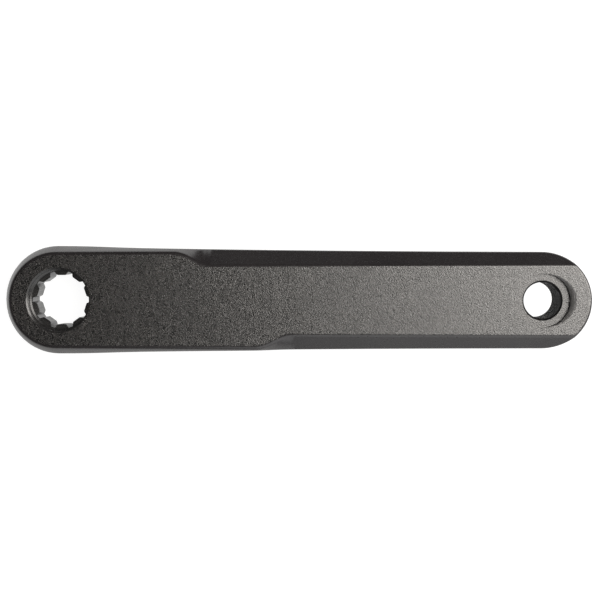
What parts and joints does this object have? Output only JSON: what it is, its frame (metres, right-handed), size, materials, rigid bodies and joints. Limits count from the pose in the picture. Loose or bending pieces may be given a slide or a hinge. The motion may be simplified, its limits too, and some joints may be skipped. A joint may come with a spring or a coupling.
{
  "type": "bicycle crank arm",
  "caption": "Forged bicycle crank arm in blasted black aluminium, with bevels that run out towards the hub, a splined spindle socket and a seated pedal hole.",
  "frame": {"origin": "on the spindle axis, in the hub's inboard face", "axes": "+X from the spindle axis to the pedal axis, +Z outboard along both axes, +Y completes the right-handed frame"},
  "size_m": [0.2134, 0.04, 0.0352],
  "materials": {
    "black_aluminium": "blasted and black anodised, satin bevels, bare on the inboard boss"
  },
  "bodies": {
    "root": {"crank_arm": "black_aluminium"}
  },
  "joints": []
}
